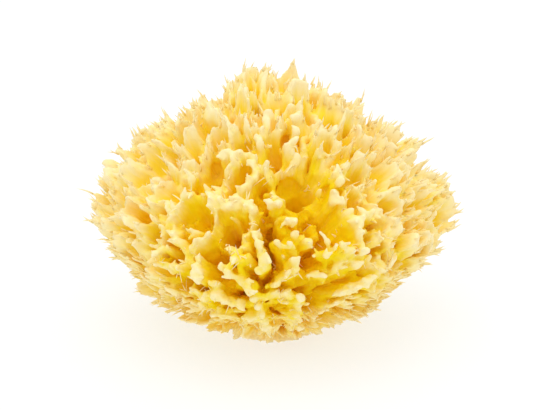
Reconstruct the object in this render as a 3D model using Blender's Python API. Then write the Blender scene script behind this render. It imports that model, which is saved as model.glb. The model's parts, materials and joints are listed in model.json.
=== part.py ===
"""Natural bath sponge, one grown piece: a rounded lens of springy skeleton, wall after wall between deep
open canals, cut flat underneath where it was taken from the sea bed.

Metres, +Z up. The origin is the middle of the flat cut that the sponge rests on.
"""

import math

import bmesh
import bpy
import numpy as np

# ---- driving dimensions (metres, degrees) ----
MM = 0.001
DEPTH_RATIO = 0.93  # front-to-back size over side-to-side size
CORE = np.array((0.0, 0.0, 45 * MM))  # the canals and walls all run outwards from here
# Outline of the envelope that the tuft tips reach, as (radius, height)
PROFILE = [
    (25, 0), (41, 8.5), (53, 19), (66, 33), (74, 46), (72, 60),
    (62, 74), (45, 88), (27, 99), (13, 107.5), (0, 111),
]
FOOT_ANGLE = 26.0  # the cut base: every wall inside this angle from straight down ends on the floor plane
FOOT_REACH = 24.5 * MM  # and its rim is no further out than this
WALL = 1.8 * MM  # half thickness of a wall at its crest
CREST_DROP = 2.2 * MM  # how far the lip of a canal lies below the crest of its wall
SEED = 7

# The large openings on the face that is seen from the front, 20 degrees above the table, read as
# (right, up, radius) in millimetres from the point 52 mm above the middle of the foot.
VIEW_ELEVATION = 20.0
VIEW_DISTANCE = 520 * MM
VIEW_HEIGHT = 52 * MM
FRONT_OPENINGS = [
    (-24, 17, 8), (2, 20, 6), (8, 28, 6), (14, 9, 8), (13, -4, 7), (-2, -16, 8),
    (-15, -9, 7), (-24, -23, 8), (-43, -19, 7), (-53, -4, 7), (-41, 5, 6), (-14, 26, 7),
    (-4, -29, 5), (12, -34, 8), (20, -20, 8), (24, 0, 7), (34, 0, 6), (33, 13, 5),
    (38, -11, 6), (33, -28, 7), (43, -17, 5), (54, -14, 5), (60, -15, 4), (52, -23, 6),
    (25, -44, 7), (-28, -31, 7), (-14, -36, 6), (4, -42, 6), (17, 40, 6), (-9, 8, 6),
    (-34, -9, 6), (-32, 26, 6), (-18, 40, 6), (24, 22, 6), (45, 4, 5), (-2, 42, 6),
]
SPREAD_OPENINGS = 228  # openings laid evenly over the rest of the sponge, before crowding ones are dropped


def smooth(t):
    t = np.clip(t, 0.0, 1.0)
    return t * t * (3 - 2 * t)


def unit(v):
    v = np.asarray(v, float)
    return v / np.linalg.norm(v, axis=-1, keepdims=True)


def envelope_table():
    """Distance from CORE to the envelope against the angle above the horizon, along a smooth curve through PROFILE."""
    p = np.array(PROFILE, float) * MM
    ends = np.vstack([2 * p[0] - p[1], p, [-p[-2][0], p[-2][1]]])
    t = np.linspace(0, 1, 24, endpoint=False)[:, None]
    rows = []
    for a, b, c, d in zip(ends, ends[1:], ends[2:], ends[3:]):
        rows.append(0.5 * (2 * b + (c - a) * t + (2 * a - 5 * b + 4 * c - d) * t**2 + (3 * b - a - 3 * c + d) * t**3))
    rows = np.vstack(rows + [p[-1:]])
    rows[:, 1] -= CORE[2]
    return np.arctan2(rows[:, 1], rows[:, 0]), np.hypot(rows[:, 0], rows[:, 1])


TABLE = envelope_table()


def envelope(d):
    """Distance along each unit direction d from CORE to the envelope, with its broad lumps. Straight down it is the cut plane."""
    d = np.atleast_2d(d)
    flat = np.hypot(d[:, 0], d[:, 1] / DEPTH_RATIO)
    angle = np.arctan2(d[:, 2], flat)
    reach = np.interp(angle, *TABLE) / np.hypot(flat, d[:, 2])
    az = np.arctan2(d[:, 1], d[:, 0])
    lump = (
        0.030 * np.sin(3 * az + 0.6) * np.cos(2.1 * angle)
        + 0.020 * np.sin(5 * az - 1.1 + 2.0 * angle)
        + 0.016 * np.sin(8 * az + 2.3 - 3.0 * angle)
    )
    reach = reach * (1 + lump * smooth((angle + 0.55) / 0.5) * smooth((1.5 - angle) / 0.6))
    down = CORE[2] / np.maximum(-d[:, 2], 1e-6)
    return np.where(d[:, 2] < -0.05, np.minimum(reach, down), reach)


def place(d, share):
    """The point at that share of the way from CORE to the envelope."""
    d = np.atleast_2d(d)
    return CORE + d * (envelope(d) * share)[:, None]


def seen_from_front(right, up):
    """The direction from CORE to the point of the envelope seen at (right, up) in the front view."""
    e = math.radians(VIEW_ELEVATION)
    back = np.array((0, -math.cos(e), math.sin(e)))
    top = np.array((0, math.sin(e), math.cos(e)))
    target = np.array((0, 0, VIEW_HEIGHT))
    eye = target + back * VIEW_DISTANCE
    ray = unit(target + np.array((right, 0, 0)) * MM + top * up * MM - eye)
    walk = eye + ray * np.linspace(0.38, 0.60, 500)[:, None]
    away = walk - CORE
    inside = np.linalg.norm(away, axis=1) < envelope(unit(away))
    return unit(away[np.argmax(inside)]) if inside.any() else None


def openings():
    """(directions, half-widths in metres) of the canals, and how many of the last ones are the solid foot."""
    rng = np.random.default_rng(SEED)
    where, size = [], []
    for right, up, radius in FRONT_OPENINGS:
        d = seen_from_front(right, up)
        if d is not None:
            where.append(d)
            size.append(radius * MM)
    foot = [(0, 0, -1.0)]
    for k in range(6):
        a, tilt = math.radians(60 * k + 20), math.radians(18.5)
        foot.append((math.sin(tilt) * math.cos(a), math.sin(tilt) * math.sin(a), -math.cos(tilt)))
    golden = math.pi * (3 - math.sqrt(5))
    for k in range(SPREAD_OPENINGS):
        z = 1 - 2 * (k + 0.5) / SPREAD_OPENINGS
        r = math.sqrt(1 - z * z)
        d = unit(np.array((r * math.cos(golden * k), r * math.sin(golden * k), z)) + rng.normal(0, 0.035, 3))
        radius = rng.uniform(4.6, 6.6) * MM
        reach = float(envelope(d)[0])
        near = [reach * math.acos(min(1, float(d @ w))) < 0.86 * (radius + s) for w, s in zip(where, size)]
        if d[2] > -math.cos(math.radians(FOOT_ANGLE + 5)) and not any(near):
            where.append(d)
            size.append(radius)
    feet = len(foot)
    where += [unit(f) for f in foot]
    size += [7.0 * MM] * feet
    return np.array(where), np.array(size), feet


def cells(where, size):
    """The wall network: each opening's ring of corner directions. The corners are where three walls meet."""
    weight = 1 / np.cos(size / envelope(where))
    hull = bmesh.new()
    for w, s in zip(where, weight):
        hull.verts.new(w * s)
    bmesh.ops.convex_hull(hull, input=hull.verts[:])
    bmesh.ops.triangulate(hull, faces=hull.faces[:])
    hull.verts.index_update()
    hull.faces.index_update()
    hull.normal_update()
    corners = np.array([f.normal[:] for f in hull.faces])
    rings = []
    for v in hull.verts:
        around = [f.index for f in v.link_faces]
        if len(around) < 3:
            rings.append([])
            continue
        axis = unit(np.array(v.co[:]))
        side = unit(np.cross(axis, (0.3, 0.5, 0.81)))
        other = np.cross(axis, side)
        angle = [math.atan2((corners[f] - axis) @ other, (corners[f] - axis) @ side) for f in around]
        rings.append([f for _, f in sorted(zip(angle, around))])
    hull.free()
    return unit(corners), rings


def build_sponge():
    rng = np.random.default_rng(SEED + 1)
    where, size, feet = openings()
    corners, rings = cells(where, size)
    body = bmesh.new()
    foot_from = len(where) - feet

    on_foot = np.zeros(len(corners), bool)
    for i in range(foot_from, len(where)):
        on_foot[rings[i]] = True

    # Crests stand tallest where walls meet, as tufts, and dip between them.
    tall = rng.uniform(0.955, 1.0, len(corners))
    crest = place(corners, tall)
    crest[on_foot, 2] = 0.0
    spread = np.linalg.norm(crest[on_foot, :2], axis=1, keepdims=True)
    crest[on_foot, :2] *= np.minimum(1, FOOT_REACH / spread)
    tops = [body.verts.new(p) for p in crest]
    saddles = {}

    def saddle(a, b):
        key = (min(a, b), max(a, b))
        if key not in saddles:
            d = unit(corners[a] + corners[b])
            share = rng.uniform(0.86, 0.93)
            p = place(d, share)[0]
            if on_foot[a] and on_foot[b]:
                p = (crest[a] + crest[b]) / 2
            saddles[key] = (body.verts.new(p), d, share)
        return saddles[key]

    for i, ring in enumerate(rings):
        if not ring:
            continue
        if i >= foot_from:
            face = []
            for a, b in zip(ring, ring[1:] + ring[:1]):
                face += [tops[a], saddle(a, b)[0]]
            body.faces.new(face)
            continue
        reach = float(envelope(where[i])[0])
        middle = unit(corners[ring].sum(axis=0))
        span = reach * np.mean(np.linalg.norm(corners[ring] - middle, axis=1))

        def inward(d, inset, share, fall):
            """A point beside crest direction d, moved towards the canal's axis by inset, at that share of the reach less fall."""
            step = (middle - d) * min(inset / max(reach * np.linalg.norm(middle - d), 1e-9), 0.8)
            to = unit(d + step)
            return place(to, share - fall / float(envelope(to)[0]))[0]

        lip_in = min(WALL, 0.30 * span)
        deep = 0.80 - 0.20 * float(smooth((span - 5 * MM) / (6 * MM)))
        outer, lip, floor = [], [], []
        for a, b in zip(ring, ring[1:] + ring[:1]):
            mid_vert, mid_dir, mid_share = saddle(a, b)
            outer += [tops[a], mid_vert]
            lip += [
                body.verts.new(inward(corners[a], lip_in * 1.25, tall[a], CREST_DROP * 1.3)),
                body.verts.new(inward(mid_dir, lip_in, mid_share, CREST_DROP)),
            ]
            floor.append(body.verts.new(inward(corners[a], lip_in * 2.0, deep, 0)))
        bottom = body.verts.new(place(middle, deep - 0.03)[0])
        n, m = len(outer), len(floor)
        for k in range(n):
            body.faces.new((outer[k], outer[(k + 1) % n], lip[(k + 1) % n], lip[k]))
        for k in range(m):
            j = (k + 1) % m
            body.faces.new((lip[2 * k], lip[2 * k + 1], floor[k]))
            body.faces.new((lip[2 * k + 1], floor[j], floor[k]))
            body.faces.new((lip[2 * k + 1], lip[(2 * k + 2) % n], floor[j]))
            body.faces.new((floor[k], floor[j], bottom))

    bmesh.ops.recalc_face_normals(body, faces=body.faces[:])
    bmesh.ops.triangulate(body, faces=body.faces[:], quad_method="SHORT_EDGE")
    mesh = bpy.data.meshes.new("sponge")
    body.to_mesh(mesh)
    body.free()
    mesh.shade_smooth()
    mesh.set_sharp_from_angle(angle=math.radians(50))
    return mesh


def spongin():
    material = bpy.data.materials.new("spongin")
    material.use_nodes = True
    shader = material.node_tree.nodes["Principled BSDF"]
    shader.inputs["Base Color"].default_value = (0.95, 0.70, 0.24, 1)
    shader.inputs["Roughness"].default_value = 0.8
    shader.inputs["Metallic"].default_value = 0.0
    return material


for old in list(bpy.data.objects):
    bpy.data.objects.remove(old, do_unlink=True)

sponge = bpy.data.objects.new("sponge", build_sponge())
sponge.data.materials.append(spongin())
bpy.context.scene.collection.objects.link(sponge)
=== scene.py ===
"""Looks of a natural bath sponge: a waxy yellow skeleton of walls between deep canals, with forked tufts on every crest."""

import json
import math

import bpy
import numpy as np
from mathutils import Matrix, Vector

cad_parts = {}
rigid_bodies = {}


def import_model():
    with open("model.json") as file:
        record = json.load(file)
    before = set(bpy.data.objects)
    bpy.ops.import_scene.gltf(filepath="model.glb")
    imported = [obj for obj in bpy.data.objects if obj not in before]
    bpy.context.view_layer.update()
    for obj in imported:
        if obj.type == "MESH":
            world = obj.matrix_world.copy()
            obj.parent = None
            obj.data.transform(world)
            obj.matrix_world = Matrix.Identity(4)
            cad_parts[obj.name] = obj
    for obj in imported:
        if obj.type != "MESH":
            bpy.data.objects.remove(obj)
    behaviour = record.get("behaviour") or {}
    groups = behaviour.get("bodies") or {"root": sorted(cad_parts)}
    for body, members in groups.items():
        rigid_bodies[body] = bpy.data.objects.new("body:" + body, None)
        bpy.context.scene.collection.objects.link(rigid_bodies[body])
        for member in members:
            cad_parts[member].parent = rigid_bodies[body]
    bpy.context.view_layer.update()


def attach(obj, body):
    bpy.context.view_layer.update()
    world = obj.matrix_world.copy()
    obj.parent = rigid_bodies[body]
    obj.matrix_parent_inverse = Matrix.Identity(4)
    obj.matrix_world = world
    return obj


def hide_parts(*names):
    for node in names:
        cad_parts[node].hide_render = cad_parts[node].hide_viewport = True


for old in list(bpy.data.objects):
    bpy.data.objects.remove(old, do_unlink=True)
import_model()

MM = 0.001

# ---------------------------------------------------------------- form shared with the solid
DEPTH_RATIO = 0.93
CORE = np.array((0.0, 0.0, 45 * MM))
PROFILE = [
    (25, 0), (41, 8.5), (53, 19), (66, 33), (74, 46), (72, 60),
    (62, 74), (45, 88), (27, 99), (13, 107.5), (0, 111),
]
ROOT = np.array((0.0, 0.0, 15 * MM))  # walls and canals run out from here
SPAN = 66 * MM
FOOT_ANGLE = 26.0
SEED = 7
VIEW_ELEVATION = 20.0
VIEW_DISTANCE = 520 * MM
VIEW_HEIGHT = 52 * MM
FRONT_OPENINGS = [
    (-24, 17, 8), (2, 20, 6), (8, 28, 6), (14, 9, 8), (13, -4, 7), (-2, -16, 8),
    (-15, -9, 7), (-24, -23, 8), (-43, -19, 7), (-53, -4, 7), (-41, 5, 6), (-14, 26, 7),
    (-4, -29, 5), (12, -34, 8), (20, -20, 8), (24, 0, 7), (34, 0, 6), (33, 13, 5),
    (38, -11, 6), (33, -28, 7), (43, -17, 5), (54, -14, 5), (60, -15, 4), (52, -23, 6),
    (25, -44, 7), (-28, -31, 7), (-14, -36, 6), (4, -42, 6), (17, 40, 6), (-9, 8, 6),
    (-34, -9, 6), (-32, 26, 6), (-18, 40, 6), (24, 22, 6), (45, 4, 5), (-2, 42, 6),
]
SPREAD_OPENINGS = 228


def smooth(t):
    t = np.clip(t, 0.0, 1.0)
    return t * t * (3 - 2 * t)


def unit(v):
    v = np.asarray(v, float)
    return v / np.maximum(np.linalg.norm(v, axis=-1, keepdims=True), 1e-12)


def envelope_table():
    p = np.array(PROFILE, float) * MM
    ends = np.vstack([2 * p[0] - p[1], p, [-p[-2][0], p[-2][1]]])
    t = np.linspace(0, 1, 24, endpoint=False)[:, None]
    rows = []
    for a, b, c, d in zip(ends, ends[1:], ends[2:], ends[3:]):
        rows.append(0.5 * (2 * b + (c - a) * t + (2 * a - 5 * b + 4 * c - d) * t**2 + (3 * b - a - 3 * c + d) * t**3))
    rows = np.vstack(rows + [p[-1:]])
    rows[:, 1] -= CORE[2]
    return np.arctan2(rows[:, 1], rows[:, 0]), np.hypot(rows[:, 0], rows[:, 1])


TABLE = envelope_table()


def envelope(d):
    d = np.atleast_2d(d)
    flat = np.hypot(d[:, 0], d[:, 1] / DEPTH_RATIO)
    angle = np.arctan2(d[:, 2], flat)
    reach = np.interp(angle, *TABLE) / np.hypot(flat, d[:, 2])
    az = np.arctan2(d[:, 1], d[:, 0])
    lump = (
        0.030 * np.sin(3 * az + 0.6) * np.cos(2.1 * angle)
        + 0.020 * np.sin(5 * az - 1.1 + 2.0 * angle)
        + 0.016 * np.sin(8 * az + 2.3 - 3.0 * angle)
    )
    reach = reach * (1 + lump * smooth((angle + 0.55) / 0.5) * smooth((1.5 - angle) / 0.6))
    down = CORE[2] / np.maximum(-d[:, 2], 1e-6)
    return np.where(d[:, 2] < -0.05, np.minimum(reach, down), reach)


VIEW_BACK = np.array((0, -math.cos(math.radians(VIEW_ELEVATION)), math.sin(math.radians(VIEW_ELEVATION))))
VIEW_TOP = np.array((0, math.sin(math.radians(VIEW_ELEVATION)), math.cos(math.radians(VIEW_ELEVATION))))
VIEW_AIM = np.array((0, 0, VIEW_HEIGHT))


def seen_from_front(right, up, share=1.0):
    """The direction from CORE of the growth that is seen, at share of its length from ROOT, at (right, up) mm in the front view."""
    eye = VIEW_AIM + VIEW_BACK * VIEW_DISTANCE
    ray = unit(VIEW_AIM + np.array((right, 0, 0)) * MM + VIEW_TOP * up * MM - eye)
    walk = eye + ray * np.linspace(0.38, 0.60, 500)[:, None]
    away = ROOT + (walk - ROOT) / share - CORE
    inside = np.linalg.norm(away, axis=1) < envelope(unit(away))
    return unit(away[np.argmax(inside)]) if inside.any() else None


def grown(d, share):
    """The point at share of the way from ROOT to the envelope's point in direction d."""
    return ROOT + (CORE - ROOT + d * envelope(d.reshape(-1, 3)).reshape(d.shape[:-1])[..., None]) * np.asarray(share)[..., None]


def length(d):
    """From ROOT to the envelope's point in direction d, in lengths of SPAN."""
    return np.linalg.norm(CORE - ROOT + d * envelope(d.reshape(-1, 3)).reshape(d.shape[:-1])[..., None], axis=-1) / SPAN


def share_of(d, level):
    """The share of the way from ROOT at which the growth in direction d is 1 - level times SPAN under the envelope."""
    return np.maximum(1 - (1 - level) / length(d), 0.05)


def growth(d):
    """The way that the growth runs at d."""
    return unit(CORE - ROOT + d * envelope(d.reshape(-1, 3)).reshape(d.shape[:-1])[..., None])


# Where crests stand out as tufts, and where they sink away between canals, in the front view's plane (mm right and up)
PEAKS = [
    (-22, 3), (-16.4, 2), (-7.5, -1), (-2.6, 13.4), (-14.8, 19), (-9.5, 18), (21.7, 24.3), (20, 16.2), (23.3, -2.8), (31, -19),
    (-6.7, -13.4), (-29.8, -18.2), (-13.6, -23.9), (-20.5, -9.3), (-41, -9.3), (-35.9, 4), (-27.8, 22.3), (-4.7, 29.2), (1.8, 38.5),
    (12.8, 31.2), (29, 14.2), (33, 6), (39, -6), (49.3, 2), (-0.6, -50), (-7.5, -46.6), (12.8, -42.6), (29, -38.5), (-27.8, -38.5),
    (-17.6, -45.8), (-48, -24.3), (-7.5, -34.5), (24.9, -20.3), (19.3, -23),
]
LOWS = [
    (8, 7, 7), (16, 9, 7), (16, -4, 7.5), (22, -14, 5.5), (14, -20, 5.5), (-2, -6, 4.5), (-1.5, -15, 5), (0, -24, 5), (2, 20, 5),
    (-22, 14, 6), (-17, -13, 5), (-22, -24, 6), (-2.6, -30, 3), (-36, -31, 5), (15, -36, 5.5), (23, -36, 5.5), (8, 28, 4),
]
# Stalks that stand up out of the hollow in the middle: tip, foot, width, ribs, thickness, finger length
STALKS = [
    (1.8, 1.5, 6.0, -12.0, 4.4, 2, 3.6, 1.2), (9.1, -5.5, 8.0, -15.0, 4.4, 2, 3.6, 0.8), (12.8, -13.0, 9.0, -24.0, 5.5, 3, 3.2, 1.8),
    (4.7, -14.5, 6.5, -26.0, 5.0, 3, 3.2, 1.5), (8.5, -21.0, 9.0, -31.0, 6.0, 3, 3.2, 1.4), (21.5, 25.0, 15.5, -2.0, 3.4, 2, 2.2, 4.5),
    (29.5, -16.0, 22.0, -33.0, 4.0, 2, 2.4, 6.0), (24.5, -15.0, 22.0, -32.0, 3.6, 2, 2.4, 7.0), (20.0, -19.0, 21.0, -32.0, 3.2, 2, 2.4, 6.0),
]
# Clumps whose crests run from one place to another in the front view, and how thick they are (mm)
RIDGES = [
    (-20, 1, -7, -1, 3.8), (-15, 5, -4, 16, 3.6), (-4, 22, 1, 37, 3.4), (-19, -26, -12, -31, 3.4), (-5, -13, -4, -27, 3.2),
    (-31, -22, -29, -31, 3.6), (-7, -33, -1, -51, 4.4), (8, -36, 13, -50, 4.4), (32, -2, 35, -24, 3.2),
    (-20, 20, -10, 21, 3.2), (27, 4, 31, 16, 3.4), (-24, -37, -12, -41, 3.8), (28, -36, 40, -30, 3.4), (8, 26, 12, 36, 3.2),
]
# Canals that lie open to the front: where, and their radius (mm)
CANALS = [
    (8, 8, 6.0), (11, -2, 4.6), (18.5, 1, 3.6), (16.5, -10, 4.2), (16.5, -17, 4.2), (15, -24, 3.8), (-2, 0, 3.0), (-2, -7, 3.2),
    (-1.5, -14, 3.6), (0.5, -20, 3.2), (2, -25, 3.0), (-15.5, -11.5, 3.6), (-23, -26, 4.8), (-17, -28, 4.4), (-4, -29.3, 2.4),
    (11, -34, 4.4), (17, -36, 4.4), (-26, -6.5, 2.6), (-5.5, 4.5, 2.4), (25.4, 6, 3.4), (31.5, -11, 2.6), (-22.5, 17, 3.4),
    (-22.5, 12, 3.6), (-28.7, 7, 2.8), (-38.5, 5, 2.2), (2, 20, 3.8), (8, 28, 3.2), (-51, -5, 2.4), (-36, -31, 3.6), (25, -33, 3.0),
]
# The highest tufts: the way from CORE, how wide (mm), how high
CROWN = [((-0.04, 0.22, 0.97), 3.6, 1.040), ((0.145, 0.20, 0.97), 3.2, 1.035), ((-0.27, 0.18, 0.94), 4.2, 0.995)]
FRONT_AXIS = unit((0.0, -1.0, 0.20))


def openings():
    rng = np.random.default_rng(SEED)
    where, size = [], []
    for right, up, radius in FRONT_OPENINGS:
        d = seen_from_front(right, up, 0.88)
        if d is not None:
            where.append(d)
            size.append(radius * MM)
    foot = [(0, 0, -1.0)]
    for k in range(6):
        a, tilt = math.radians(60 * k + 20), math.radians(18.5)
        foot.append((math.sin(tilt) * math.cos(a), math.sin(tilt) * math.sin(a), -math.cos(tilt)))
    golden = math.pi * (3 - math.sqrt(5))
    for k in range(SPREAD_OPENINGS):
        z = 1 - 2 * (k + 0.5) / SPREAD_OPENINGS
        r = math.sqrt(1 - z * z)
        d = unit(np.array((r * math.cos(golden * k), r * math.sin(golden * k), z)) + rng.normal(0, 0.035, 3))
        radius = rng.uniform(4.6, 6.6) * MM
        reach = float(envelope(d)[0])
        near = [reach * math.acos(min(1, float(d @ w))) < 0.86 * (radius + s) for w, s in zip(where, size)]
        if d[2] > -math.cos(math.radians(FOOT_ANGLE + 5)) and not any(near):
            where.append(d)
            size.append(radius)
    where += [unit(f) for f in foot]
    size += [7.0 * MM] * len(foot)
    return np.array(where), np.array(size)


# ---------------------------------------------------------------- noise
def lattice(ix, iy, iz, seed):
    h = (ix * 374761393 + iy * 668265263 + iz * 2147483647 + seed * 1274126177) & 0xFFFFFFFF
    h = ((h ^ (h >> 13)) * 1274126177) & 0xFFFFFFFF
    h = ((h ^ (h >> 16)) * 2246822519) & 0xFFFFFFFF
    return ((h ^ (h >> 15)) & 0xFFFFFF) / float(0xFFFFFF) * 2 - 1


def noise(p, seed=0):
    """Smooth noise from -1 to 1 at points p, one cell to a unit."""
    p = np.asarray(p, float)
    i = np.floor(p).astype(np.int64)
    f = p - i
    f = f * f * f * (f * (f * 6 - 15) + 10)
    out = 0.0
    for dx in (0, 1):
        for dy in (0, 1):
            for dz in (0, 1):
                w = (f[..., 0] if dx else 1 - f[..., 0]) * (f[..., 1] if dy else 1 - f[..., 1]) * (f[..., 2] if dz else 1 - f[..., 2])
                out = out + w * lattice(i[..., 0] + dx, i[..., 1] + dy, i[..., 2] + dz, seed)
    return out


def noise3(p, seed=0):
    return np.stack([noise(p + 17.3 * k, seed + 31 * k) for k in range(3)], axis=-1)


def front_centre(d):
    """1 in the middle of the front, where the canals are wide and the tufts stand apart, to 0 outside it."""
    mid = unit(np.array((0.0, -1.0, 0.24)))
    out = np.arccos(np.clip(d @ mid, -1, 1))
    return 1 - smooth((out - 0.56) / 0.36)


# ---------------------------------------------------------------- walls and canals
WHERE, SIZE = openings()
WEIGHTED = WHERE / np.cos(SIZE / envelope(WHERE))[:, None]
APART = np.linalg.norm(WEIGHTED[:, None] - WEIGHTED[None], axis=-1) + np.eye(len(WHERE))


def wobble(d):
    """Directions pushed about a little, so that no wall runs straight."""
    return unit(d + (0.050 - 0.025 * front_centre(d))[:, None] * noise3(d * 7.0, 3) + 0.018 * noise3(d * 21.0, 5))


def walls(d):
    """For directions d: the canal each lies in, the distance (m, at the envelope) to its nearest wall's middle, the canal beyond that wall."""
    return network(wobble(d), d, WEIGHTED, APART)


def network(q, d, centres, apart):
    out_own, out_b, out_next = [], [], []
    for part in np.array_split(q, max(1, len(q) // 20000)):
        v = part @ centres.T
        own = v.argmax(1)
        gap = (v[np.arange(len(v)), own][:, None] - v) / apart[own]
        gap[np.arange(len(v)), own] = 9
        near = np.argsort(gap, axis=1)[:, :4]
        g = np.take_along_axis(gap, near, 1)
        k = 90.0
        soft = -np.log(np.exp(-k * g).sum(1)) / k
        out_own.append(own)
        out_b.append(np.maximum(soft, 0))
        out_next.append(near[:, 0])
    own, b, nxt = map(np.concatenate, (out_own, out_b, out_next))
    return own, b * envelope(d), nxt


def mesh_of(name, points, faces, values=None):
    """A smooth-shaded mesh object. faces is a list of arrays of triangles or quads; values are point attributes."""
    mesh = bpy.data.meshes.new(name)
    sizes = np.concatenate([np.full(len(f), f.shape[1]) for f in faces])
    corners = np.concatenate([f.ravel() for f in faces])
    mesh.vertices.add(len(points))
    mesh.vertices.foreach_set("co", np.asarray(points, np.float32).ravel())
    mesh.loops.add(len(corners))
    mesh.loops.foreach_set("vertex_index", corners.astype(np.int32))
    mesh.polygons.add(len(sizes))
    mesh.polygons.foreach_set("loop_start", np.r_[0, np.cumsum(sizes)[:-1]].astype(np.int32))
    mesh.update(calc_edges=True)
    mesh.shade_smooth()
    mesh.polygons.foreach_set("use_smooth", ~folded(np.asarray(points, float), faces))
    for key, value in (values or {}).items():
        value = np.asarray(value, np.float32)
        kind, field = ("FLOAT", "value") if value.ndim == 1 else ("FLOAT_VECTOR", "vector")
        mesh.attributes.new(key, kind, "POINT").data.foreach_set(field, value.ravel())
    obj = bpy.data.objects.new(name, mesh)
    bpy.context.scene.collection.objects.link(obj)
    return obj


def folded(points, faces):
    """Which faces lie where the mesh folds over on itself so sharply that smooth shading can't follow."""
    ways = [np.cross(points[f[:, -2]] - points[f[:, 0]], points[f[:, -1]] - points[f[:, 1]]) for f in faces]
    total = np.zeros_like(points)
    for f, way in zip(faces, ways):
        for k in range(f.shape[1]):
            np.add.at(total, f[:, k], way)
    total = total / np.maximum(np.linalg.norm(total, axis=1), 1e-15)[:, None]
    out = []
    for f, way in zip(faces, ways):
        way = way / np.maximum(np.linalg.norm(way, axis=1), 1e-15)[:, None]
        out.append(np.einsum("nkj,nj->nk", total[f], way).min(1) < 0.30)
    return np.concatenate(out)


def from_front(d):
    """The angle of d from the front's axis."""
    return np.arccos(np.clip(d @ FRONT_AXIS, -1, 1))


def scatter(count, apart, rng, accept):
    """Directions spread over the sphere, at least apart metres from each other on the envelope, for which accept is true."""
    k = np.arange(count)
    z = 1 - 2 * (k + 0.5) / count
    a = k * math.pi * (3 - math.sqrt(5))
    r = np.sqrt(1 - z * z)
    d = unit(np.stack([r * np.cos(a), r * np.sin(a), z], 1) + rng.normal(0, 0.012, (count, 3)))
    d = d[accept(d)]
    d = d[rng.permutation(len(d))]
    p = d * envelope(d)[:, None]
    kept = np.empty((len(d), 3))
    rows = []
    for i in range(len(d)):
        if not rows or (np.square(kept[: len(rows)] - p[i]).sum(1) > apart * apart).all():
            kept[len(rows)] = p[i]
            rows.append(i)
    return d[rows]


FINS = scatter(9000, 7.0 * MM, np.random.default_rng(23), lambda d: d[:, 2] > -2)
FINS_APART = np.linalg.norm(FINS[:, None] - FINS[None], axis=-1) + np.eye(len(FINS))


def warp(p):
    """Bends the whole growth, so that canals wander and lips overhang."""
    p = np.asarray(p, float)
    hold = smooth((p[..., 2] - 2 * MM) / (14 * MM))
    bend = noise3(p / (17 * MM), 81) * 2.0 * MM + noise3(p / (7 * MM), 84) * 0.8 * MM
    return p + bend * (hold * (1 - 0.5 * front_centre(unit(p - CORE))))[..., None]


def near_any(d, spots, radius):
    """1 at the nearest of spots, directions, falling off over radius."""
    gap = np.arccos(np.clip((d @ spots.T).max(-1), -1, 1)) * envelope(d.reshape(-1, 3)).reshape(d.shape[:-1])
    return np.exp(-((gap / radius) ** 2))


PEAK_AT = np.array([seen_from_front(*p, 0.93) for p in PEAKS])
LOW_AT = np.array([seen_from_front(*p[:2], 0.80) for p in LOWS])
LOW_R = np.array([p[2] * MM for p in LOWS])
CROWN_AT = [(unit(way), wide * MM, high) for way, wide, high in CROWN]


def crest_at(d):
    """How far out the crests of the main walls stand at d, how far those of the fins, and from 0 in a saddle to 1 on a tuft."""
    w = front_centre(d)
    wave = 0.75 * noise(d * 12, 51) + 0.5 * noise(d * 27, 52)
    wave = wave * (1 - 0.35 * w) + 1.0 * near_any(d, PEAK_AT, 3.6 * MM)
    gap = np.arccos(np.clip(d @ LOW_AT.T, -1, 1)) * 66 * MM / LOW_R
    low = w * np.exp(-(gap.min(-1) ** 4))
    jag = noise(d * 38, 53)
    crest = 0.830 + 0.020 * w + (0.050 + 0.030 * w) * wave + 0.018 * jag - 0.31 * low
    outer = 0.905 + 0.140 * noise(d * 10, 54) + 0.070 * noise(d * 26, 55) + 0.060 * jag - 0.05 * smooth((-0.55 - d[..., 2]) / 0.25)
    outer = np.minimum(outer, 1.0)
    for at, wide, high in CROWN_AT:
        outer = np.maximum(outer, high - 0.12 * (1 - near_any(d, at[None], wide)) + 0.03 * jag - 9 * (d @ at < 0.985))
    inner = 0.725 + 0.130 * noise(d * 17, 56) + 0.020 * jag - 0.65 * low
    return crest, outer * (1 - w) + inner * w, smooth((wave + 0.45) / 1.1)


def canals():
    """The open canals of the front: start, end and radius of each, in metres."""
    eye = VIEW_AIM + VIEW_BACK * VIEW_DISTANCE
    rows = []
    for right, up, radius in CANALS:
        d = seen_from_front(right, up, 0.90)
        if d is not None:
            at = grown(d, 0.90)
            inwards = unit(0.72 * unit(at - eye) - 0.28 * growth(d))
            rows.append((at - inwards * 14 * MM, at + inwards * (3.0 + 2.1 * radius) * MM, radius * MM))
    return rows


OPEN = canals()


# ---------------------------------------------------------------- the growth as one waxy skin
LEVELS = (0.36, 1.09)
LAP = math.radians(2.4)  # how far a patch reaches past its edge
# Six patches of directions: name, axis, side, steps across and outwards (mm)
PATCHES = [
    ("front", (0, -1, 0), (1, 0, 0), 0.60, 0.95),
    ("left", (-1, 0, 0), (0, -1, 0), 0.82, 1.4),
    ("right", (1, 0, 0), (0, 1, 0), 0.82, 1.4),
    ("top", (0, 0, 1), (1, 0, 0), 0.82, 1.4),
    ("back", (0, 1, 0), (-1, 0, 0), 1.0, 1.7),
    ("under", (0, 0, -1), (1, 0, 0), 1.0, 1.7),
]


def soft_min(a, b, k):
    h = np.clip(0.5 + 0.5 * (b - a) / k, 0, 1)
    return b + (a - b) * h - k * h * (1 - h)


def soft_max(a, b, k):
    return -soft_min(-a, -b, k)


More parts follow.
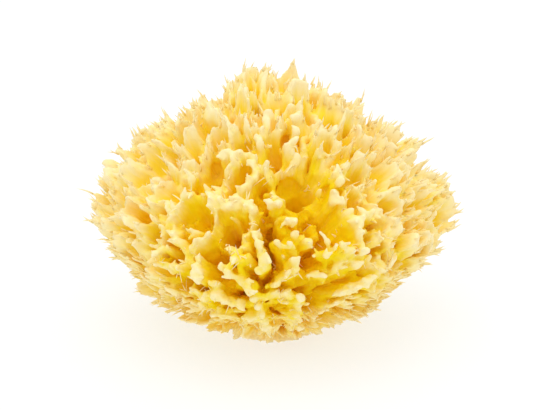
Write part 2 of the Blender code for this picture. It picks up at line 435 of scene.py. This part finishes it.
def solid(d, level):
    """Below 0 inside the growth and above 0 outside it, roughly in metres: a row for each direction, a column for each level."""
    w = front_centre(d)[:, None]
    own, b, _ = walls(d)
    fin_b = network(unit(d + 0.035 * noise3(d * 9, 16)), d, FINS, FINS_APART)[1][:, None]
    b = b[:, None]
    crest, fin_crest, peak = (x[:, None] for x in crest_at(d))
    far = length(d)[:, None]
    floor = (0.54 - 0.13 * smooth((SIZE[own] / MM - 4.5) / 4.0) + 0.03 * noise(d * 9, 13))[:, None] - 0.03 * w
    floor = np.maximum(floor, 1 - 0.55 * far)
    q = level[None]
    s = np.maximum(1 - (1 - q) / far, 0.05)
    at = grown(np.broadcast_to(d[:, None], (*s.shape, 3)), s)
    lump = noise(at / (4.5 * MM), 14) + 0.5 * noise(at / (2.4 * MM), 15)
    rib = (1 - 0.6 * w) * (noise(d * 25, 17) + 0.5 * noise(d * 42, 18))[:, None]
    rise = smooth((q - floor) / (crest - floor))
    half = np.maximum((2.7 - (1.7 - 0.4 * w) * rise + 0.4 * peak * rise) * (1 + 0.24 * lump + 0.26 * rib), 0.55) * MM
    f = soft_max(b * (0.35 + 0.65 * s) - half, (q - crest) * SPAN, 2.0 * MM)
    fin_rise = smooth((q - 0.68) / (fin_crest - 0.63))
    thin = np.maximum((1.55 - 0.80 * fin_rise) * (1 + 0.16 * lump + 0.28 * rib), 0.58 - 0.10 * w) * MM
    fin = soft_max(fin_b * s - thin, (q - fin_crest) * SPAN, 0.8 * MM)
    f = soft_min(f, fin, 1.5 * MM)
    f = soft_min(f, (q - floor) * SPAN, 2.5 * MM)
    tilt = np.arccos(np.clip(-d[:, 2], -1, 1))[:, None]
    pores = noise(d * 30, 41) + 0.6 * noise(d * 60, 42)
    foot = 1.0 - 0.035 * smooth((pores - 0.15) / 0.5)
    rim = np.radians(FOOT_ANGLE - 1 + 5 * noise(d * 14, 43) + 2 * noise(d * 33, 44))[:, None]
    return soft_min(f, np.maximum((q - foot[:, None]) * SPAN, (tilt - rim) * SPAN), 1.5 * MM)


def nub(base, way, thick, rng):
    """A short lump on a crest."""
    to = unit(way) * rng.uniform(1.2, 4.0) * MM
    pts = np.array([base, base + to * 0.6 + rng.normal(0, 0.2, 3) * MM, base + to + rng.normal(0, 0.4, 3) * MM])
    return pts, np.array((thick * 0.8, rng.uniform(0.5, 0.8) * MM, rng.uniform(0.4, 0.6) * MM))


def front_fingers(rng):
    """Chains of balls: (points, radii) of each finger and stalk of the front."""
    chains = []
    def on_wall(d):
        crest, fin_crest, _ = crest_at(d)
        fin = network(unit(d + 0.035 * noise3(d * 9, 16)), d, FINS, FINS_APART)[1]
        return (from_front(d) < 0.82) & ((walls(d)[1] < 0.8 * MM) | ((fin < 0.6 * MM) & (fin_crest > 0.74)))

    spots = scatter(36000, 1.9 * MM, rng, on_wall)
    crest, fin_crest, peak = crest_at(spots)
    crest = np.where(walls(spots)[1] < 0.8 * MM, crest, fin_crest)
    fan = 0.55 * noise3(spots * 15, 91)
    feet, ways = grown(spots, share_of(spots, crest - 0.02)), growth(spots)
    for base, way, pk, f, free in zip(feet, ways, peak, fan, clear_of(feet, 0.3 * MM)):
        if rng.uniform() > 0.55 + 0.45 * pk or not free:
            continue
        long = (0.9 + 4.2 * pk * rng.uniform(0.1, 1.0) ** 1.5) * MM
        up = unit(way + f + rng.normal(0, 0.10, 3))
        curl = rng.normal(0, 0.55, 3)
        steps = 6
        p = base
        r0, r1 = (0.75 + 0.65 * pk * rng.uniform(0.4, 1.1)) * MM, rng.uniform(0.45, 0.65) * MM
        pts, rad = [p], [r0]
        for k in range(1, steps + 1):
            s = k / steps
            p = p + unit(up + curl * s * s) * ((long + 2 * MM) / steps)
            pts.append(p)
            rad.append(r0 + (r1 - r0) * s**0.8 + rng.normal(0, 0.07) * MM)
        chains.append((np.array(pts), np.maximum(rad, 0.42 * MM)))
        if long > 2.2 * MM and rng.uniform() < 0.7:
            k = rng.integers(2, 5)
            to = unit(pts[k + 1] - pts[k] + rng.normal(0, 0.7, 3) * np.linalg.norm(pts[k + 1] - pts[k]))
            side = np.array([pts[k] + to * long * x for x in (0.0, 0.22, 0.42)])
            chains.append((side, np.array((rad[k] * 0.8, 0.55 * MM, 0.45 * MM))))
    for tr, tu, fr, fu, width, n, thickness, finger in STALKS:
        tip, foot = (seen_from_front(tr, tu, 0.95), seen_from_front(fr, fu, 0.60))
        if tip is None or foot is None:
            continue
        tip, foot = grown(tip, 0.95), grown(foot, 0.50)
        side = unit(np.cross(VIEW_BACK, tip - foot))
        for k in range(n):
            x = (k + 0.5) / n - 0.5
            end = tip + side * x * width * 1.3 * MM + rng.normal(0, 0.7, 3) * MM
            start = foot + side * x * width * 0.8 * MM
            t = np.linspace(0, 1, 11)[:, None]
            bow = rng.normal(0, 1.8, 3) * MM
            pts = start * (1 - t) + end * t + bow * np.sin(np.pi * t) + rng.normal(0, 0.32, (11, 3)) * MM
            r0, r1 = thickness / 2 * MM, (0.95 if finger < 3 else 0.6) * MM
            rad = np.maximum(r0 + (r1 - r0) * t[:, 0] ** (1.6 if finger < 3 else 0.8) + rng.normal(0, 0.22, 11) * MM, 0.5 * MM)
            chains.append((pts, rad))
            for _ in range(rng.integers(3, 7)):
                j = rng.integers(4, 11)
                chains.append(nub(pts[j], unit(end - start) * 0.5 + rng.normal(0, 0.8, 3), rad[j], rng))
    for r0, u0, r1, u1, thickness in RIDGES:
        a, b = seen_from_front(r0, u0, 0.93), seen_from_front(r1, u1, 0.93)
        if a is None or b is None:
            continue
        m = max(2, int(math.hypot(r1 - r0, u1 - u0) / 2.3))
        swing = rng.normal(0, 0.016, (3, 3))
        for t in np.linspace(0, 1, m + 1):
            d = unit(a * (1 - t) + b * t + swing[0] * math.sin(math.pi * t) + swing[1] * math.sin(2 * math.pi * t))
            top = 0.905 + rng.normal(0, 0.028) - 0.03 * abs(2 * t - 1)
            levels = np.linspace(0.52, top, 6)
            pts = grown(np.repeat(d[None], 6, 0), share_of(np.repeat(d[None], 6, 0), levels)) + rng.normal(0, 0.25, (6, 3)) * MM
            rad = thickness / 2 * MM * np.array((1.25, 1.1, 1.0, 0.92, 0.80, 0.62)) * rng.uniform(0.75, 1.20)
            chains.append((pts, rad))
            for _ in range(rng.integers(2, 6)):
                chains.append(nub(pts[-1], unit(pts[-1] - pts[0]) + rng.normal(0, 0.5, 3), rad[-1], rng))
    return chains


def reach_of(at, p, run, r, t):
    """How far points lie outside a ball that runs from p along run and whose radius goes from r to t, and how far along they are."""
    h = np.clip((at - p) @ run / (run @ run), 0, 1)
    return np.linalg.norm(at - p - h[..., None] * run, axis=-1) - (r + (t - r) * h), h


def clear_of(at, room):
    """Which points lie at least room outside every open canal."""
    return np.min([reach_of(at, p, q - p, r, r)[0] for p, q, r in OPEN], axis=0) > room


def placed(p):
    """For points p: the direction and share for which grown() gives them."""
    share = np.full(len(p), 0.8)
    for _ in range(12):
        away = ROOT + (p - ROOT) / share[:, None] - CORE
        share = share * (0.5 + 0.5 * np.linalg.norm(away, axis=1) / envelope(unit(away)))
    return unit(away), share


def build_skin(name, axis, side, across, outwards, chains):
    """The skin over one patch of directions: pieces of (name, points, faces, painted tip light near the tops of the
    crests, how far below the crests for the painted shade).
    """
    axis, side = np.array(axis, float), np.array(side, float)
    up = np.cross(axis, side)
    step = across / 66
    n = int(round((math.pi / 2 + 2 * LAP) / step)) + 1
    turn = (np.arange(n) - (n - 1) / 2) * step
    level = np.arange(*LEVELS, outwards / 66)

    def way(x, y):
        return unit(axis + np.tan(x)[..., None] * side + np.tan(y)[..., None] * up)

    x, y = np.meshgrid(turn, turn, indexing="ij")
    d = way(x.ravel(), y.ravel())
    field = np.concatenate([solid(part, level) for part in np.array_split(d, 12)]).reshape(n, n, -1)
    d = d.reshape(n, n, 3)
    shapes = [(np.linspace(p, q, 9)[3:], np.full(6, r), True) for p, q, r in OPEN] + [(*c, False) for c in chains]
    for pts, rad, carved in shapes:
        out, far = placed(pts)
        if (out @ axis).min() < 0.2:
            continue
        depth = 1 - (1 - far) * length(out)
        on = out @ axis
        room = (rad.max() + 2.0 * MM) / (55 * MM * on.min() * far.min())
        lo, hi = [], []
        for value, first, gap, count, more in (
            (np.arctan2(out @ side, on), turn[0], step, n, room),
            (np.arctan2(out @ up, on), turn[0], step, n, room),
            (depth, level[0], outwards / 66, len(level), 0.07),
        ):
            lo.append(int(np.clip((value.min() - more - first) / gap, 0, count)))
            hi.append(int(np.clip((value.max() + more - first) / gap + 2, 0, count)))
        if min(h - l for l, h in zip(lo, hi)) < 2:
            continue
        box = tuple(slice(l, h) for l, h in zip(lo, hi))
        here = d[box[:2]][:, :, None]
        at = grown(here, share_of(here, level[box[2]]))
        gap = np.full(at.shape[:3], 1.0)
        for p, q, r, t in zip(pts[:-1], pts[1:], rad[:-1], rad[1:]):
            gap = np.minimum(gap, reach_of(at, p, q - p, r, t)[0])
        if carved:
            gap = gap + 0.14 * rad[0] * noise(at / (3.6 * MM), 19)
            field[box] = soft_max(field[box], -gap, 1.8 * MM)
        else:
            field[box] = soft_min(field[box], gap, 1.4 * MM)
    field[:, :, -1] = 4 * MM
    at, quads = surface_net(field)
    rows = at[quads].max(1)
    first = at[quads].min(1)
    quads = quads[(first[:, 2] > 0.5) & (first[:, 0] > 0.5) & (first[:, 1] > 0.5) & (rows[:, 0] < n - 1.5) & (rows[:, 1] < n - 1.5)]
    used, quads = np.unique(quads, return_inverse=True)
    at, quads = at[used], quads.reshape(-1, 4)

    # How high the growth stands round each direction
    stands = np.where(field < 0, level, 0).max(2)
    r = max(1, int(round(2.4 / across)))
    for _ in range(r):
        for k in (0, 1):
            pad = np.pad(stands, [(1, 1) if j == k else (0, 0) for j in (0, 1)], mode="edge")
            stands = np.maximum.reduce([np.take(pad, np.arange(m, m + n), k) for m in (0, 1, 2)])
    for _ in range(r):
        for k in (0, 1):
            pad = np.pad(stands, [(1, 1) if j == k else (0, 0) for j in (0, 1)], mode="edge")
            stands = sum(np.take(pad, np.arange(m, m + n), k) for m in (0, 1, 2)) / 3
    near = np.clip(np.round(at[:, :2]).astype(int), 0, n - 1)
    e = way(turn[0] + at[:, 0] * step, turn[0] + at[:, 1] * step)
    at_level = level[0] + at[:, 2] * outwards / 66
    below = (np.maximum(stands[near[:, 0], near[:, 1]], 0.885 * front_centre(e)) - at_level) * SPAN
    pts = grown(e, share_of(e, at_level))
    run = grown(e, np.ones(len(e)))
    hold = np.clip((pts[:, 2] - 0.3 * MM) / (4 * MM), 0, 1)
    pts = warp(pts)
    pts = pts + (0.34 * MM * noise3(pts / (3.0 * MM), 71) + 0.16 * MM * noise3(pts / (1.3 * MM), 72)) * hold[:, None]
    pts[:, 2] = np.maximum(pts[:, 2], 0.0)
    # Painted tip light, paler near the tops of the crests, and how far below them, which deepens the painted shade
    edge, down = smooth((3.0 * MM - below) / (3.6 * MM)), smooth(below / (11 * MM))
    halves = np.array_split(np.argsort(at[quads[:, 0], 0], kind="stable"), 2 if len(quads) > 90000 else 1)
    out = []
    for k, half in enumerate(halves):
        used, faces = np.unique(quads[half], return_inverse=True)
        out.append((f"skin_{name}_{k + 1}" if len(halves) > 1 else f"skin_{name}", pts[used], [faces.reshape(-1, 4)], edge[used], run[used], down[used]))
    return out


def surface_net(f):
    """Points, in steps of the grid, and quads of the skin between the inside (f < 0) and the outside."""
    inside = f < 0
    count = np.zeros(np.array(f.shape) - 1, np.int8)
    for dx in (0, 1):
        for dy in (0, 1):
            for dz in (0, 1):
                count += inside[dx : f.shape[0] - 1 + dx, dy : f.shape[1] - 1 + dy, dz : f.shape[2] - 1 + dz]
    cells = np.argwhere((count > 0) & (count < 8))
    index = np.full(count.shape, -1, np.int32)
    index[tuple(cells.T)] = np.arange(len(cells))
    total, times = np.zeros((len(cells), 3)), np.zeros(len(cells))
    for axis in range(3):
        others = [k for k in range(3) if k != axis]
        for m in (0, 1):
            for n in (0, 1):
                start = np.zeros(3, int)
                start[others[0]], start[others[1]] = m, n
                end = start.copy()
                end[axis] = 1
                fa, fb = f[tuple((cells + start).T)], f[tuple((cells + end).T)]
                cut = (fa < 0) != (fb < 0)
                t = np.where(cut, fa / np.where(cut, fa - fb, 1), 0)
                total[cut] += (start + (end - start) * t[:, None])[cut]
                times += cut
    points = cells + total / times[:, None]
    quads = []
    for axis in range(3):
        u, v = (axis + 1) % 3, (axis + 2) % 3
        a = np.take(inside, np.arange(f.shape[axis] - 1), axis)
        b = np.take(inside, np.arange(1, f.shape[axis]), axis)
        for sign, pick in ((1, a & ~b), (-1, b & ~a)):
            at = np.argwhere(pick)
            at = at[(at[:, u] > 0) & (at[:, v] > 0) & (at[:, u] < count.shape[u]) & (at[:, v] < count.shape[v])]
            ring = []
            for du, dv in ((-1, -1), (0, -1), (0, 0), (-1, 0)):
                c = at.copy()
                c[:, u] += du
                c[:, v] += dv
                ring.append(index[tuple(c.T)])
            quads.append(np.stack(ring if sign == 1 else ring[::-1], 1))
    return points, np.vstack(quads)


# ---------------------------------------------------------------- fine fibres at the tips
def not_foot(d):
    return d[..., 2] > -math.cos(math.radians(29.5))


def build_fibres(name, spots, crest, rng, each, reach, spread, curl, sides=4, rings=3):
    """One mesh of tapered fibres, a few standing together on the crest at each of spots."""
    d = np.repeat(spots, each, 0)
    N = len(d)
    root = grown(d, share_of(d, np.repeat(crest, each) - 0.022)) + rng.normal(0, 0.38, (N, 3)) * MM
    way = unit(growth(d) + np.repeat(rng.normal(0, spread, (len(spots), 3)), each, 0) + rng.normal(0, spread, (N, 3)))
    bend = rng.normal(0, curl, (N, 3))
    long = np.repeat(rng.uniform(*reach, len(spots)), each) * rng.uniform(0.55, 1.05, N) * MM
    wide = rng.uniform(0.38, 0.62, N) * MM
    across = unit(np.cross(way, rng.normal(0, 1, (N, 3))))
    other = np.cross(way, across)
    # Painted tip light: each fibre's colour is paler towards its tip
    parts, edge = [], []
    for k in range(rings):
        t = k / rings
        mid = root + (way * t + bend * t * t) * long[:, None]
        for j in range(sides):
            a = 2 * math.pi * j / sides
            parts.append(mid + (across * math.cos(a) + other * math.sin(a)) * (wide * (1 - 0.72 * t))[:, None])
            edge.append(np.full(N, 0.45 + 0.55 * t))
    parts.append(root + (way + bend) * long[:, None])
    edge.append(np.ones(N))
    per = rings * sides + 1
    quads = [(k * sides + j, k * sides + (j + 1) % sides, (k + 1) * sides + (j + 1) % sides, (k + 1) * sides + j) for k in range(rings - 1) for j in range(sides)]
    tris = [((rings - 1) * sides + j, (rings - 1) * sides + (j + 1) % sides, rings * sides) for j in range(sides)]
    quads.append(tuple(range(sides))[::-1])
    off = (np.arange(N) * per)[:, None, None]
    pts = warp(np.stack(parts, 1).reshape(-1, 3))
    pts[:, 2] = np.maximum(pts[:, 2], 0.2 * MM)
    run = np.repeat(grown(d, np.ones(N)), per, 0)
    return (name, pts, [(np.array(quads)[None] + off).reshape(-1, 4), (np.array(tris)[None] + off).reshape(-1, 3)], np.stack(edge, 1).ravel(), run, None)


# ---------------------------------------------------------------- how crowded the growth is round each point, which sets the painted shade in the colour
CELL = 1.5 * MM
# The crowding over which the painted shade goes from none to full
PAINTED_SHADE_RANGE = (0.18, 0.75)


def crowding(points, inner=0.50):
    """A field of how much of the growth lies round each point of the space, from 0 in the open."""
    low = points.min(0) - 12 * MM
    shape = np.ceil((points.max(0) + 12 * MM - low) / CELL).astype(int) + 1
    grid = np.zeros(shape)
    i = ((points - low) / CELL).astype(int)
    grid[i[:, 0], i[:, 1], i[:, 2]] = 1
    centre = np.stack(np.meshgrid(*[low[k] + (np.arange(shape[k]) + 0.5) * CELL for k in range(3)], indexing="ij"), -1) - CORE
    flat = centre.reshape(-1, 3)
    grid[(np.linalg.norm(flat, axis=1) < inner * envelope(unit(flat))).reshape(shape)] = 1
    for r in (2, 2, 2):
        for axis in range(3):
            c = np.cumsum(np.pad(grid, [(r + 1, r) if k == axis else (0, 0) for k in range(3)]), axis=axis)
            grid = (np.take(c, np.arange(2 * r + 1, c.shape[axis]), axis) - np.take(c, np.arange(0, c.shape[axis] - 2 * r - 1), axis)) / (2 * r + 1)

    def read(p):
        f = np.clip((p - low) / CELL - 0.5, 0, np.array(shape) - 1.001)
        i = f.astype(int)
        f = f - i
        out = 0.0
        for dx in (0, 1):
            for dy in (0, 1):
                for dz in (0, 1):
                    w = (f[:, 0] if dx else 1 - f[:, 0]) * (f[:, 1] if dy else 1 - f[:, 1]) * (f[:, 2] if dz else 1 - f[:, 2])
                    j = np.minimum(i + (dx, dy, dz), np.array(shape) - 1)
                    out = out + w * grid[j[:, 0], j[:, 1], j[:, 2]]
        return out

    return read


rng = np.random.default_rng(101)
chains = front_fingers(rng)
made = [piece for patch in PATCHES for piece in build_skin(*patch, chains)]


def on_fin(d):
    fin = network(unit(d + 0.035 * noise3(d * 9, 16)), d, FINS, FINS_APART)[1]
    crest = crest_at(d)[1]
    return (d[..., 2] > -0.45) & (fin < 0.55 * MM) & (front_centre(d) < 0.5) & (crest > 0.85) & clear_of(grown(d, share_of(d, crest)), 0.8 * MM)


spots = scatter(42000, 2.5 * MM, rng, on_fin)
made.append(build_fibres("fibres", spots, crest_at(spots)[1], rng, 2, (2.6, 6.4), 0.12, 0.14))


def on_front(d):
    crest = crest_at(d)
    return (front_centre(d) > 0.2) & (walls(d)[1] < 0.9 * MM) & (crest[2] > 0.30) & clear_of(grown(d, share_of(d, crest[0])), 0.8 * MM)


spots = scatter(36000, 1.9 * MM, rng, on_front)
made.append(build_fibres("curls", spots, crest_at(spots)[0] + 0.02, rng, 2, (1.3, 3.2), 0.45, 0.80, 4, 5))
everything = np.vstack([m[1] for m in made])
read = crowding(everything)
dense = [read(m[1]) for m in made]
pieces = []
for (name, pts, faces, edge, run, down), c in zip(made, dense):
    # Painted shade: the colour turns deeper and more saturated where the growth crowds round, on the skin also far
    # below the crests and more so in the middle of the front, where the painted tip light is also weaker
    painted_shade = (c - PAINTED_SHADE_RANGE[0]) / (PAINTED_SHADE_RANGE[1] - PAINTED_SHADE_RANGE[0])
    if down is not None:
        w = front_centre(unit(pts - CORE))
        painted_shade = (0.38 + 0.07 * w) * painted_shade + (0.20 + 0.35 * w) * down + 0.22 * (1 - w) * down**3 + 0.07 * w
        edge = edge * (0.95 - 0.47 * w)
    pieces.append(mesh_of(name, pts, faces, {"painted_shade": painted_shade, "edge": edge, "run": run}))


# ---------------------------------------------------------------- material
def spongin():
    mat = bpy.data.materials.new("spongin")
    mat.use_nodes = True
    nt = mat.node_tree
    N, L = nt.nodes, nt.links
    shader = N["Principled BSDF"]
    # Painted shade, stored on the points
    painted_shade = N.new("ShaderNodeAttribute")
    painted_shade.attribute_name = "painted_shade"
    # Painted tip light, stored on the points
    edge = N.new("ShaderNodeAttribute")
    edge.attribute_name = "edge"
    coord = N.new("ShaderNodeTexCoord")
    blot = N.new("ShaderNodeTexNoise")
    blot.inputs["Scale"].default_value = 60
    blot.inputs["Detail"].default_value = 3
    L.new(coord.outputs["Object"], blot.inputs["Vector"])
    # Painted light and shade on the sponge's own yellow: pale cream in the open, saturated deeper yellow where the
    # painted shade is strongest; random blotches and streaks vary the sponge's own tone
    painted_shade_ramp = N.new("ShaderNodeValToRGB")
    cr = painted_shade_ramp.color_ramp
    painted_shade_stops = [
        (0.02, (0.990, 0.875, 0.50)),
        (0.28, (0.985, 0.830, 0.31)),
        (0.52, (0.972, 0.785, 0.085)),
        (0.78, (0.955, 0.765, 0.010)),
        (1.00, (0.940, 0.740, 0.003)),
    ]
    cr.elements[0].position, cr.elements[0].color = painted_shade_stops[0][0], (*painted_shade_stops[0][1], 1)
    cr.elements[1].position, cr.elements[1].color = painted_shade_stops[-1][0], (*painted_shade_stops[-1][1], 1)
    for pos, col in painted_shade_stops[1:-1]:
        cr.elements.new(pos).color = (*col, 1)
    shift = N.new("ShaderNodeMath")
    shift.operation = "MULTIPLY_ADD"
    shift.inputs[1].default_value = 0.24
    less = N.new("ShaderNodeMath")
    less.operation = "ADD"
    less.inputs[1].default_value = -0.43
    L.new(blot.outputs["Fac"], shift.inputs[0])
    run = N.new("ShaderNodeAttribute")
    run.attribute_name = "run"
    streak = N.new("ShaderNodeTexNoise")
    streak.inputs["Scale"].default_value = 480
    streak.inputs["Detail"].default_value = 2
    L.new(run.outputs["Vector"], streak.inputs["Vector"])
    lines = N.new("ShaderNodeMath")
    lines.operation = "MULTIPLY_ADD"
    lines.inputs[1].default_value = 0.62
    L.new(streak.outputs["Fac"], lines.inputs[0])
    L.new(painted_shade.outputs["Fac"], lines.inputs[2])
    L.new(lines.outputs[0], less.inputs[0])
    L.new(less.outputs[0], shift.inputs[2])
    L.new(shift.outputs[0], painted_shade_ramp.inputs["Fac"])
    # Painted tip light: crest tops and fibre tips mixed towards pale cream
    tip = N.new("ShaderNodeMix")
    tip.data_type = "RGBA"
    tip.inputs["B"].default_value = (1.0, 0.86, 0.50, 1)
    L.new(edge.outputs["Fac"], tip.inputs["Factor"])
    L.new(painted_shade_ramp.outputs["Color"], tip.inputs["A"])
    L.new(tip.outputs["Result"], shader.inputs["Base Color"])
    shader.inputs["Roughness"].default_value = 0.7
    shader.inputs["Specular IOR Level"].default_value = 0.06
    fibre = N.new("ShaderNodeTexNoise")
    fibre.inputs["Scale"].default_value = 900
    fibre.inputs["Detail"].default_value = 4
    L.new(coord.outputs["Object"], fibre.inputs["Vector"])
    bump = N.new("ShaderNodeBump")
    bump.inputs["Strength"].default_value = 0.30
    bump.inputs["Distance"].default_value = 0.0003
    both = N.new("ShaderNodeMath")
    both.operation = "MULTIPLY_ADD"
    both.inputs[1].default_value = 2.2
    L.new(streak.outputs["Fac"], both.inputs[0])
    L.new(fibre.outputs["Fac"], both.inputs[2])
    L.new(both.outputs[0], bump.inputs["Height"])
    L.new(bump.outputs["Normal"], shader.inputs["Normal"])
    return mat


skin = spongin()
for obj in pieces:
    obj.data.materials.clear()
    obj.data.materials.append(skin)
    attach(obj, "root")
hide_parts("sponge")
count = {o.name: sum(len(p.vertices) - 2 for p in o.data.polygons) for o in pieces}
print("triangles", sum(count.values()), count)

# ---------------------------------------------------------------- stage, light, camera
scene = bpy.context.scene
scene.view_settings.view_transform = "Standard"
scene.view_settings.look = "None"
scene.cycles.max_bounces = 20
scene.cycles.diffuse_bounces = 20

floor = mesh_of("floor", np.array([(-3, -3, 0), (3, -3, 0), (3, 3, 0), (-3, 3, 0)], float), [np.array([[0, 1, 2, 3]])])
pale = bpy.data.materials.new("pale_floor")
pale.use_nodes = True
table = pale.node_tree.nodes["Principled BSDF"]
table.inputs["Base Color"].default_value = (0.36, 0.37, 0.38, 1)
table.inputs["Roughness"].default_value = 0.9
table.inputs["Specular IOR Level"].default_value = 0.0
table.inputs["Emission Color"].default_value = (1, 1, 1, 1)
table.inputs["Emission Strength"].default_value = 0.63
floor.data.materials.append(pale)

world = bpy.data.worlds.new("studio")
scene.world = world
world.use_nodes = True
sky = world.node_tree.nodes["Background"]
where = world.node_tree.nodes.new("ShaderNodeTexCoord")
height = world.node_tree.nodes.new("ShaderNodeSeparateXYZ")
fade = world.node_tree.nodes.new("ShaderNodeValToRGB")
fade.color_ramp.elements[0].position, fade.color_ramp.elements[0].color = 0.0, (0.40, 0.395, 0.388, 1)
fade.color_ramp.elements[1].position, fade.color_ramp.elements[1].color = 1.0, (1.0, 0.99, 0.97, 1)
world.node_tree.links.new(where.outputs["Generated"], height.inputs[0])
world.node_tree.links.new(height.outputs["Z"], fade.inputs["Fac"])
world.node_tree.links.new(fade.outputs["Color"], sky.inputs["Color"])
sky.inputs["Strength"].default_value = 1.41


def area(name, at, aim, size, power, colour=(1, 1, 1)):
    light = bpy.data.lights.new(name, "AREA")
    light.shape = "SQUARE"
    light.size = size
    light.energy = power
    light.color = colour
    obj = bpy.data.objects.new(name, light)
    obj.location = at
    obj.rotation_euler = (Vector(aim) - Vector(at)).to_track_quat("-Z", "Y").to_euler()
    scene.collection.objects.link(obj)


area("key", (-0.15, -0.35, 0.85), (0, 0, 0.05), 0.8, 0.6)

cam = bpy.data.cameras.new("camera")
cam.lens, cam.sensor_width = 85, 36
camera = bpy.data.objects.new("camera", cam)
e = math.radians(VIEW_ELEVATION)
aim = Vector((-0.0008, 0, 0.0521))
back = Vector((0, -math.cos(e), math.sin(e)))
camera.location = aim + back * 0.520
camera.rotation_euler = (-back).to_track_quat("-Z", "Y").to_euler()
scene.collection.objects.link(camera)
scene.camera = camera
